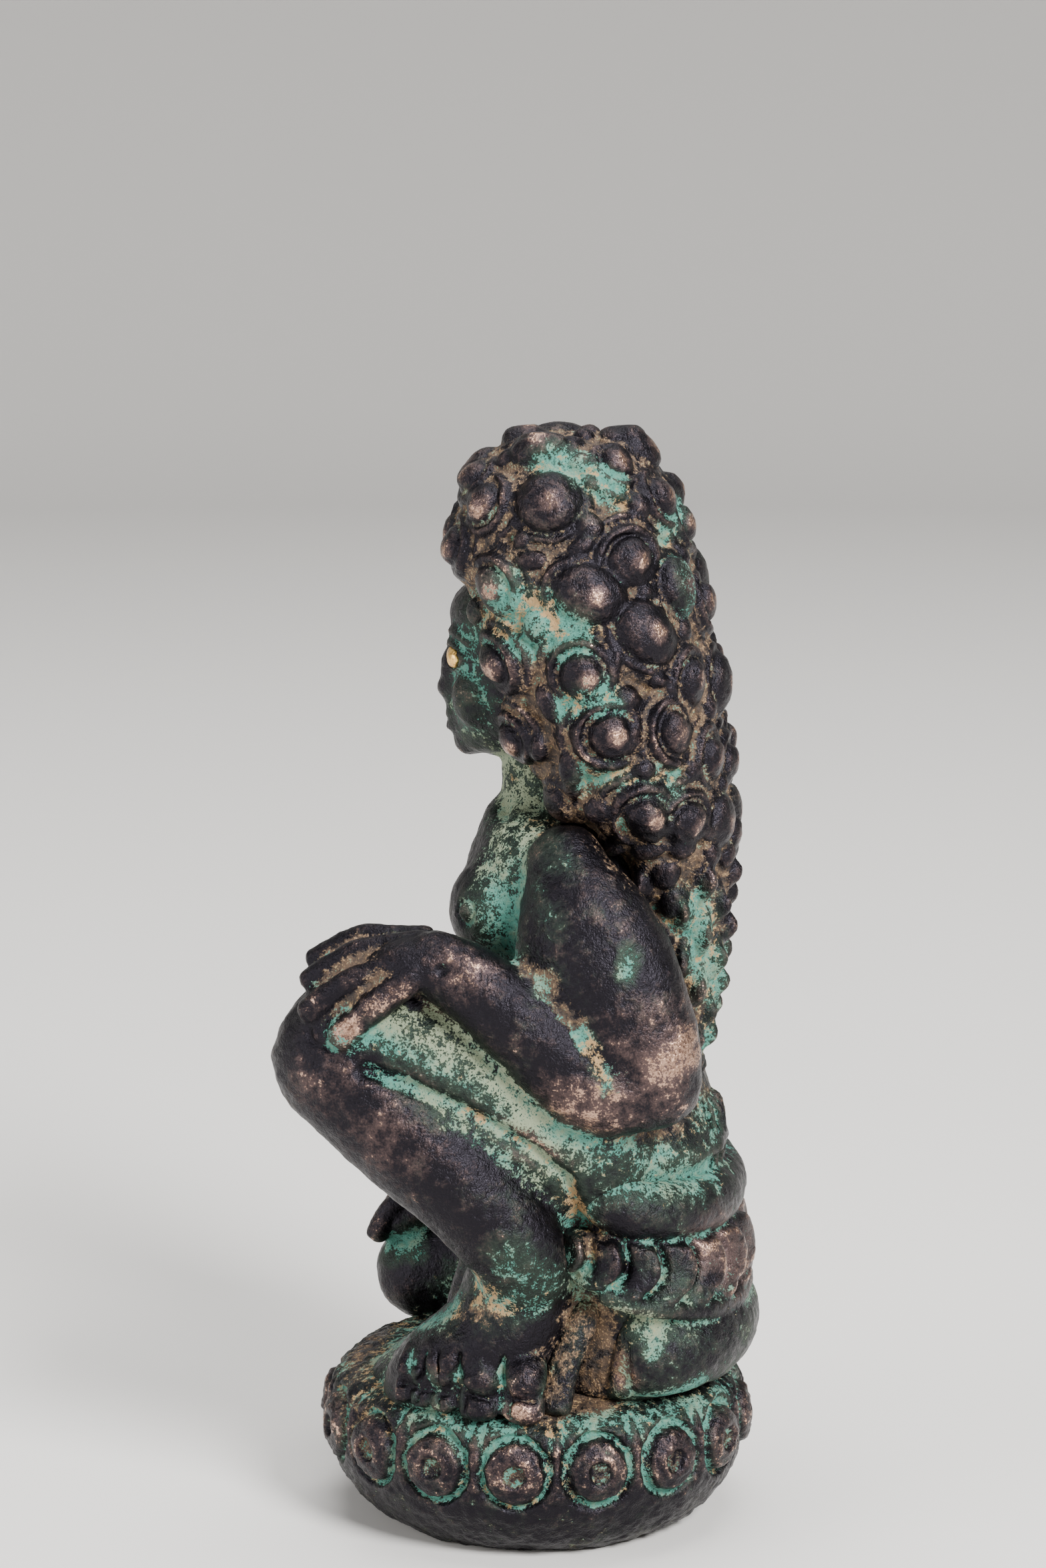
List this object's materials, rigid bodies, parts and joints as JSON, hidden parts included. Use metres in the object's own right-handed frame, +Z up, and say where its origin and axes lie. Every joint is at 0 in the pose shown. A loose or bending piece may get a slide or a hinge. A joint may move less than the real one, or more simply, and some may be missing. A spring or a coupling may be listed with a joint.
{
  "type": "small bronze guardian figure on a round plinth",
  "caption": "Small cast-bronze guardian squatting on a round cushion plinth, with curled hair, a pleated dress, a raised knee and gold-inlaid eyes; stands on a shelf as an ornament.",
  "frame": {"origin": "centre of the plinth's flat underside", "axes": "+Z up through the head, -Y the way the figure faces, +X towards the figure's own left hand"},
  "size_m": [0.0413, 0.0417, 0.0999],
  "materials": {
    "patinated_bronze": "dark purplish-grey patinated cast bronze with green verdigris in the hollows",
    "gold_inlay": "bright burnished gold"
  },
  "bodies": {
    "root": {"bronze_figure_with_plinth": "patinated_bronze", "left_eye_inlay": "gold_inlay", "right_eye_inlay": "gold_inlay"}
  },
  "joints": []
}
